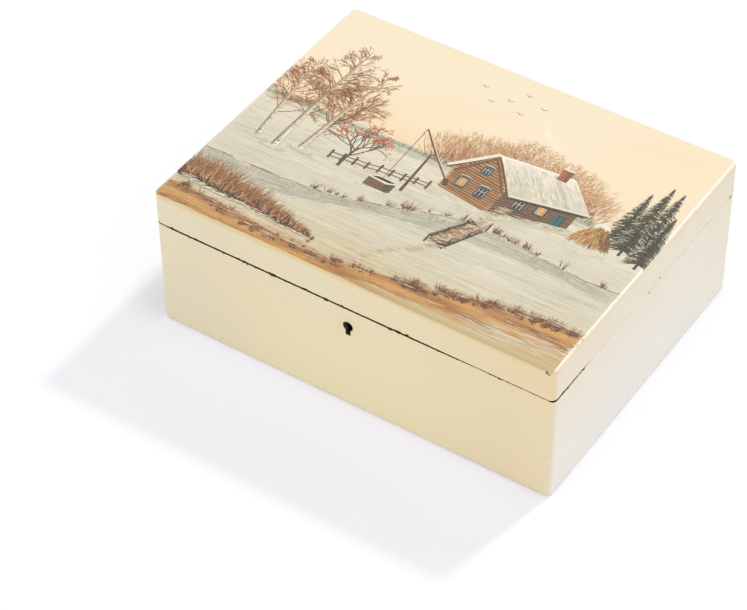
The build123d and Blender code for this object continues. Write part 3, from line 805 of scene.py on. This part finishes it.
brick_light, brick_shade = [(186, 96, 60), (172, 84, 54)], [(126, 68, 48)]
chimney_left, chimney_foot, chimney_head = 44.6, 26, 34.4
chimney_strokes, lit_strokes, brick_joints = 9, 5, 7
for k in range(chimney_strokes):
    x = chimney_left + 0.6 * k
    tint = mixed(*(brick_light if k < lit_strokes else brick_shade))
    stroke((x, chimney_foot), (x, chimney_head), (0.65,) * 3, tint)
for row in range(brick_joints):
    stroke((44.3, 27.4 + row), (49.7, 27.4 + row), (0.18,) * 3, mixed((214, 166, 128)))
stroke((43.8, 34.6), (50.2, 34.6), (0.9, 1.8, 0.9), mixed((250, 243, 228)))
for _ in range(drift_strokes):
    x = between(-10, 84)
    past = x - gable_right.x
    ground = -10.5 + 0.2 * max(0, past) - 2.5 * math.exp(-((past / 12) ** 2))
    tint = mixed(*snow_light, (222, 214, 192))
    slope = 0.08 if past > 0 else -0.1
    drag(x - 4, ground - between(-0.5, 4), between(3, 10), between(0.3, 0.9), tint, slope, 0.3)
paint("painted_hut")

# The yard: a rail fence, a well with its sweep, a footbridge over the creek, a snow-capped haystack and a
# rowan hung with red berries.

timber = [(124, 92, 62), (102, 74, 50), (144, 110, 76)]
dark_timber = [(84, 60, 42), (70, 50, 36), (96, 70, 48)]
snow_cap = [(248, 241, 226), (240, 232, 212)]
fence_posts, post_drifts, well_drifts = 9, 8, 80
posts = [at(-4 - 6.4 * k, -13.5 - 0.75 * k + between(-0.4, 0.4)) for k in range(fence_posts)]
for post, following in zip(posts, posts[1:]):
    for lift in (1.8, 4.4):
        ends = post + at(0.9, lift), following + at(-0.9, lift + between(-0.5, 0.5))
        stroke(*ends, (0.6, 0.75, 0.6), mixed(*timber))
        stroke(*(end + at(0, 0.45) for end in ends), (0.1, 0.4, 0.1), mixed(*snow_cap))
for post in posts:
    top = post + at(between(-0.4, 0.4), between(6, 7))
    stroke(post, top, (1.3, 1.1, 1.1), mixed(*timber), mixed(*dark_timber))
    stroke(top - at(0.8, 0), top + at(0.8, 0), (0.4, 1.1, 0.4), mixed(*snow_cap))
    for _ in range(post_drifts):
        dab(post.x - between(0, 6), post.y - between(0, 1.6), (3, 7), (0.3, 0.8), snow_light)

well = at(-31, -26)
near_corner, side_corner = well + at(10, -1), well + at(14.5, 0.8)
well_height, well_courses = at(0, 6.5), 5
post_foot, post_fork = (-13, -21), (-14.5, 8)
sweep_butt, sweep_tip = (2, -3.5), (-26, 24)
log_wall(well, near_corner, well + well_height, near_corner + well_height, well_courses, timber)
well_side = near_corner, side_corner, near_corner + well_height, side_corner + well_height
log_wall(*well_side, well_courses, dark_timber)
mouth = well + at(1, 7.2), side_corner + at(-1, 6.4)
stroke(*mouth, (1.2, 2.2, 1.0), mixed((58, 44, 34)), bow=0.3)
for start, end in ((well, near_corner), (near_corner, side_corner)):
    stroke(start + well_height, end + well_height, (0.7, 1.1, 0.7), mixed(*snow_cap), bow=0.15)
stroke(well + at(-0.4, 6.8), well + at(4.4, 8.8), (0.5, 0.8, 0.4), mixed(*snow_cap))
stroke(post_foot, post_fork, (1.7, 1.3, 1.1), mixed(*timber))
for x in (-16.2, -12.8):
    stroke((-14.5, 7.5), (x, 11.5), (0.9, 0.8, 0.5), mixed(*timber))
stroke(sweep_butt, sweep_tip, (1.4, 1.1, 0.6), mixed(*timber), mixed(*dark_timber), bow=0.5)
stroke((1.8, -2.8), (-25.6, 24.5), (0.3, 0.4, 0.1), mixed(*snow_cap), bow=0.5)
stroke((2.4, -6), (0.4, -2), (1.8, 3.4, 1.6), mixed((96, 76, 60)))
stroke(sweep_tip, (-24.6, -18), (0.25,) * 3, mixed((112, 84, 60)))
for _ in range(well_drifts):
    dab(well.x - between(-10, 5), well.y - between(0.2, 2.4), (3, 8), (0.3, 0.9), snow_light)

bridge, bridge_end, abreast = at(31, -22), at(20, -42), at(5.2, 1.3)
planks, plank_snow, path_strokes = 15, 2, 420
plank_wood = [(178, 144, 102), (158, 124, 86), (194, 164, 124)]
path_snow = [(206, 188, 150), (192, 172, 134), (220, 204, 168), (236, 226, 200)]
stroke(bridge, bridge_end, (9.5, 10.5, 11), mixed((92, 70, 52)), mixed((74, 56, 42)))
for k in range(planks):
    spot = bridge.lerp(bridge_end, (k + 0.5) / planks)
    reach = abreast * between(0.94, 1.06)
    stroke(spot - reach, spot + reach, (1.15, 1.2, 1.15), mixed(*plank_wood))
    for _ in range(plank_snow):
        start = between(-0.9, 0.3)
        end = start + between(0.3, 0.6)
        stroke(spot + start * reach, spot + end * reach, (0.1, 0.8, 0.1), mixed(*snow_cap))
for side in (-abreast, abreast):
    for share in (0.04, 0.5, 0.96):
        foot = bridge.lerp(bridge_end, share) + side
        stroke(foot - at(0, 1.8), foot + at(0, 4.8), (0.9, 0.8, 0.8), mixed(*dark_timber))
    ends = [end + side + at(0, 4.2) for end in (bridge, bridge_end)]
    stroke(*ends, (0.7, 0.8, 0.7), mixed(*timber))
    stroke(*(end + at(0.2, 0.4) for end in ends), (0.1, 0.5, 0.1), mixed(*snow_cap))
for _ in range(path_strokes):
    share = between(-0.9, 2.6)
    if not -0.02 < share < 1.02:
        bend = 5 * math.sin(2.2 * share) - 2.2 * max(0, share - 1)
        spot = bridge.lerp(bridge_end, share) + at(bend + rng.gauss(0, 1.3), 0)
        tint = mixed(*path_snow)
        drag(spot.x - 2, spot.y, between(2, 5), between(0.2, 0.55), tint, between(-0.2, 0.1))

straw = [(212, 164, 88), (190, 138, 68), (230, 192, 120), (168, 118, 58)]
straw_shade = [(134, 94, 50), (150, 104, 56)]
stack_x, straws, cap_strokes, stack_drifts = 80, 700, 90, 60
for _ in range(straws):
    lean = between(-1, 1)
    top = at(stack_x + 2.4 * lean, 10.5 - 2.5 * lean ** 2)
    foot = at(stack_x + 9.5 * lean, -9 + 1.2 * lean ** 2 + between(-0.5, 0.8))
    share = between(0, 0.75)
    belly = at(2.4 * lean * math.sin(math.pi * share), 0)
    start, end = top.lerp(foot, share) + belly, top.lerp(foot, share + between(0.12, 0.25)) + belly
    tints = straw if lean < between(-0.2, 0.9) else straw_shade
    stroke(start, end, (0.15, 0.45, 0.1), mixed(*tints), bow=between(-0.2, 0.2))
for _ in range(cap_strokes):
    lean = between(-1, 1)
    start = at(stack_x + 1.5 * lean, 11.6 - 2 * lean ** 2)
    stroke(start, start + at(3.2 * lean, -between(1, 5)), (0.3, 0.8, 0.1), mixed(*snow_cap), bow=0.2)
for _ in range(stack_drifts):
    dab(between(68, 86), -9.5 - between(-0.6, 1.8), (3, 8), (0.3, 0.9), snow_light)


def branch(start, turn, length, width, forks, droop, tints, tips):
    """A bough that forks into thinner ones; droop bends it down, and tips collects its ends."""
    turn -= droop * math.copysign(1, math.cos(turn)) * between(0.4, 1.2)
    end = start + at(math.cos(turn), math.sin(turn)) * length
    stroke(start, end, (width, 0.8 * width, 0.6 * width), mixed(*tints), bow=between(-0.07, 0.07) * length)
    if not forks:
        tips.append(end)
        return
    for _ in range(rng.choice((2, 3, 3))):
        fork = start.lerp(end, between(0.45, 1.0))
        fork_turn = turn + between(-0.75, 0.75)
        branch(fork, fork_turn, length * between(0.5, 0.8), width * 0.6, forks - 1, droop, tints, tips)


bunches = []
rowan, rowan_bark = at(-48, -22), [(96, 68, 50), (122, 86, 60)]
berries = [(206, 62, 34), (228, 98, 46), (178, 44, 28), (238, 130, 64)]
bough = dict(width=0.7, forks=3, droop=0.05, tints=rowan_bark, tips=bunches)
stroke(rowan, rowan + at(1.5, 16), (1.8, 1.3, 1.0), mixed(rowan_bark[0]), bow=0.5)
for turn in (40, 58, 75, 92, 108, 126, 142):
    start = rowan + at(between(0.8, 1.6), between(9, 16))
    branch(start, math.radians(turn), between(8, 12), **bough)
for bunch in bunches:
    for _ in range(rng.randint(1, 3)):
        spot = bunch + at(rng.gauss(0, 0.8), rng.gauss(-0.4, 0.7))
        stroke(spot - at(0.36, 0), spot + at(0.36, 0), (0.3, 0.95, 0.3), mixed(*berries))
paint("painted_yard")

# Birches beside the creek: a cloud of fine russet twigs, then white stems in three long pulls of the brush,
# black scars across them and snow drifted round their feet.

birches = (((-93, -25), (-100, 40), 3.0), ((-82, -27), (-81, 60), 4.0), ((-70, -22), (-63, 48), 3.2))
birch_twigs = heartwood + rust + pale_twigs[:2]
scar_tints = [(54, 44, 36), (88, 72, 58)]
boughs, scars, foot_drifts = 36, 60, 60
bough = dict(width=0.5, forks=3, droop=0.12, tints=birch_twigs, tips=[])
for foot, top, width in birches:
    foot, top = Vector(foot), Vector(top)
    for _ in range(boughs):
        share = between(0.3, 0.98)
        turn = math.radians(90 - rng.choice((-1, 1)) * between(18, 52))
        length = (1.15 - share) * between(13, 20)
        branch(foot.lerp(top, share), turn, length, **bough)
    for offset, broad, low, high in (
        (0, 1.0, (234, 224, 202), (206, 172, 132)), (-0.33, 0.34, (166, 154, 138), (168, 134, 100)),
        (0.33, 0.24, (248, 240, 222), (226, 196, 156)),
    ):
        widths = (broad * width, 0.65 * broad * width, 0.2)
        stroke(foot + at(offset * width, 0), top, widths, rgb(*low), rgb(*high), bow=0.6)
    for _ in range(scars):
        share = rng.random() ** 1.5 * 0.8
        half = 0.45 * width * (1 - share)
        start = foot.lerp(top, share) + at(between(-1.2, 0.2) * half, 0)
        end = start + at(between(0.4, 1.1) * half, between(-0.2, 0.2))
        stroke(start, end, (0.1, between(0.25, 0.7), 0.1), mixed(*scar_tints), bow=-0.12)
    for _ in range(foot_drifts):
        spot = foot + at(rng.gauss(-2, 3), between(-1.8, 0.8))
        dab(spot.x, spot.y, (3, 8), (0.3, 0.9), snow_light)
paint("painted_birches")

# The near bank: ochre earth and trodden snow along the front, dry grass on its crest at the right, and a
# ragged belt of brushwood that stands dark against the creek at the left.

dry_earth, wet_earth = Vector(rgb(228, 180, 110)), Vector(rgb(156, 94, 40))
dark_stems = [(62, 38, 20), (78, 46, 24), (98, 58, 28)]
light_stems = [(186, 106, 42), (208, 134, 58), (158, 86, 34), (226, 166, 88), (138, 76, 32)]
trodden_snow = [(206, 196, 166), (196, 182, 148)]
late_snow = snow_light + [(222, 202, 160)]
earth_strokes, trodden_strokes, bank_drifts, crest_drifts = 3000, 160, 110, 180
front_tufts, crest_tufts, creek_tufts = 60, 80, 26


def crest(x):
    """Where the near bank's ochre ground begins, at this x."""
    return -77 + 3 * math.sin(x / 23) + 22 / (1 + math.exp(-(x - 58) / 16))


def tuft(x, y, reach, stems, spread, feet=dark_stems, tips=light_stems):
    """A tuft of bare stems that fan out from one foot, darker at the ground than at the tips."""
    lean = rng.gauss(0, 0.3)
    for _ in range(stems):
        fan = rng.gauss(0, 1)
        turn = math.radians(90 + spread * (lean + fan))
        foot = at(x - 0.12 * reach * fan + rng.gauss(0, 0.1 * reach), y + between(-0.8, 0.8))
        tip = foot + at(math.cos(turn), math.sin(turn)) * reach * between(0.35, 1.1)
        stroke(foot, tip, (0.3, 0.24, 0.05), mixed(*feet), mixed(*tips), bow=between(-0.08, 0.08) * reach)


def brushwood(bushes, stems, lift, tall, feet, tips):
    """A ragged row of bushes along the bank at the left, this far above its foot and up to this tall."""
    for _ in range(bushes):
        share = rng.random()
        x = 80 * share - 108
        y = -66 - 0.06 * (x + 108) + lift * (1 - share) + rng.gauss(0, 0.7)
        reach = tall * (1 - share ** 2.2) * between(0.4, 1.1) + 1.2
        tuft(x, y, reach, stems, 23, feet, tips)


for _ in range(earth_strokes):
    x = between(-114, 106)
    y = crest(x) - abs(rng.gauss(0, 7)) + 1
    wet = 0.42 + 0.3 * math.sin(x / 21 + y / 1.7) + 0.14 * math.sin(x / 9 - y) + rng.gauss(0, 0.12)
    tint = dry_earth.lerp(wet_earth, max(0, min(1, wet)))
    length, width, slope, bow = between(4, 18), between(0.25, 0.9), between(0.0, 0.06), between(-0.3, 0.5)
    if y > -81.5 or x < -10:
        drag(x, y, length, width, tint, slope, bow)
for _ in range(trodden_strokes):
    dab(between(-112, -40), -67 - between(0, 3), (4, 14), (0.3, 0.8), trodden_snow)
brushwood(52, stems=24, lift=6, tall=15, feet=heartwood + rust[:1], tips=pale_twigs + rust)
brushwood(50, stems=24, lift=3, tall=11, feet=dark_stems + heartwood[:1], tips=rust + pale_twigs[:1])
brushwood(46, stems=24, lift=0, tall=7, feet=dark_stems, tips=heartwood + rust[:2])
brushwood(120, stems=1, lift=3, tall=14, feet=pale_twigs, tips=pale_twigs)
for _ in range(bank_drifts):
    x = between(-109, -34)
    dab(x, -67.5 - 0.06 * (x + 108) + between(-1, 1.2), (2, 5), (0.4, 0.9), snow_light)
for _ in range(front_tufts):
    x = between(-106, 10)
    tuft(x, crest(x) + between(-3, 2), between(2, 4.5), stems=12, spread=30)
for _ in range(crest_tufts):
    x = between(18, 108)
    tuft(x, crest(x) - between(-0.6, 3.5), between(2, 6), stems=16, spread=24)
for _ in range(creek_tufts):
    x = between(-60, 104)
    tuft(x, sum(creek(x)) + between(0, 1.2), between(2.5, 6), stems=10, spread=14)
for _ in range(crest_drifts):
    x = between(-110, 104)
    dab(x, crest(x) + between(-2, 9), (3, 12), (0.2, 0.6), late_snow, slope=0.03)
paint("painted_near_bank")

# Studio: a wide white floor that keeps the casket's soft shadow, with a painted shadow against the left
# wall and a painted cool glow along the front, an even white surround, a key lamp high behind and two
# broad fills in front and on the right.

floor_reach = 6
floor_white, painted_shadow_floor = (0.893, 0.90, 0.95, 1), (0.735, 0.74, 0.80, 1)
lift_white, painted_cool_glow, floor_lift = (1, 1, 1, 1), (1.35, 1.46, 1.93, 1), 0.13
surround_light, surround_seen = 0.8, 1.0

floor_shape = bmesh.new()
bmesh.ops.create_grid(floor_shape, x_segments=1, y_segments=1, size=floor_reach)
floor_mesh = bpy.data.meshes.new("floor")
floor_shape.to_mesh(floor_mesh)
floor_shape.free()
floor = bpy.data.objects.new("floor", floor_mesh)
bpy.context.scene.collection.objects.link(floor)


def seen_rays(tree):
    """1 for rays from the camera, reflections and glass, and 0 for the light that falls on things."""
    path = put(tree, "LightPath").outputs
    return calc(tree, "MAXIMUM", path["Is Camera Ray"], path["Is Glossy Ray"], path["Is Transmission Ray"])


white_floor = bpy.data.materials.new("white_floor")
white_floor.use_nodes = True
tree = white_floor.node_tree
tree.nodes.remove(tree.nodes["Principled BSDF"])
x, y, _ = put(tree, "SeparateXYZ", {0: millimetres(tree)}).outputs
inset = edge_distance(tree, x, y)
# Painted shadow: the floor's own colour is darker against the casket's left wall, towards its front.
painted_shadow_left = times(tree, ease(tree, y, -40, -70), ease(tree, y, -100, -72))
painted_shadow_left = times(tree, painted_shadow_left, ease(tree, x, -109, -111), ease(tree, inset, -34, -6))
matt = put(tree, "BsdfDiffuse", {"Color": blend(tree, painted_shadow_left, floor_white, painted_shadow_floor)}).outputs[0]
# Painted light: a cool glow, seen by the camera and in reflections, on the floor in front of the casket.
painted_glow_front = times(tree, ease(tree, y, -83, -87), ease(tree, inset, -50, 0))
painted_glow_front = times(tree, painted_glow_front, ease(tree, calc(tree, "ABSOLUTE", x), 130, 70))
glow = {"Color": blend(tree, painted_glow_front, lift_white, painted_cool_glow)}
glow["Strength"] = times(tree, seen_rays(tree), floor_lift)
lift = put(tree, "Emission", glow).outputs[0]
surface = put(tree, "AddShader", {0: matt, 1: lift}).outputs[0]
tree.links.new(surface, tree.nodes["Material Output"].inputs["Surface"])
floor_mesh.materials.append(white_floor)

surround = bpy.data.worlds.new("surround")
surround.use_nodes = True
tree = surround.node_tree
tree.nodes["Background"].inputs["Color"].default_value = (1, 1, 1, 1)
strength = ease(tree, seen_rays(tree), 0, 1, surround_light, surround_seen)
tree.links.new(strength, tree.nodes["Background"].inputs["Strength"])
bpy.context.scene.world = surround


def lamp(name, spot, energy, size, tint=(1, 1, 1)):
    """A round lamp at this spot that shines on the casket."""
    light = bpy.data.lights.new(name, "AREA")
    light.energy, light.shape, light.size, light.color = energy, "DISK", size, tint
    holder = bpy.data.objects.new(name, light)
    spot = Vector(spot)
    holder.matrix_world = Matrix.Translation(spot) @ spot.to_track_quat("Z", "Y").to_matrix().to_4x4()
    bpy.context.scene.collection.objects.link(holder)


lamp("key", (0.49, 1.81, 2.28), energy=18.4, size=0.25)
lamp("front_fill", (0.5, -1.75, 0.9), energy=3.9, size=1.4)
lamp("right_fill", (1.9, -0.3, 0.7), energy=0.42, size=1.2, tint=(0.85, 0.93, 1.0))

# Camera: a long lens that looks down on the front right corner. It is turned round the casket, raised and
# rolled a little, then set back, aside and down from the middle of the casket's foot.

turn, height, roll = math.radians(34.26), math.radians(43.85), math.radians(-0.81)
back, aside, above = 1.29778, -0.035618, -0.002046

lens = bpy.data.cameras.new("camera")
lens.sensor_width = 36
lens.lens = 126.74
camera = bpy.data.objects.new("camera", lens)
bpy.context.scene.collection.objects.link(camera)
backward = Vector((math.sin(turn) * math.cos(height), -math.cos(turn) * math.cos(height), math.sin(height)))
right = Vector((0, 0, 1)).cross(backward).normalized()
up = backward.cross(right)
right, up = right * math.cos(roll) + up * math.sin(roll), up * math.cos(roll) - right * math.sin(roll)
eye = back * backward + aside * right + above * up
camera.matrix_world = Matrix.Translation(eye) @ Matrix((right, up, backward)).transposed().to_4x4()
bpy.context.scene.camera = camera
bpy.context.scene.view_settings.view_transform = "Standard"
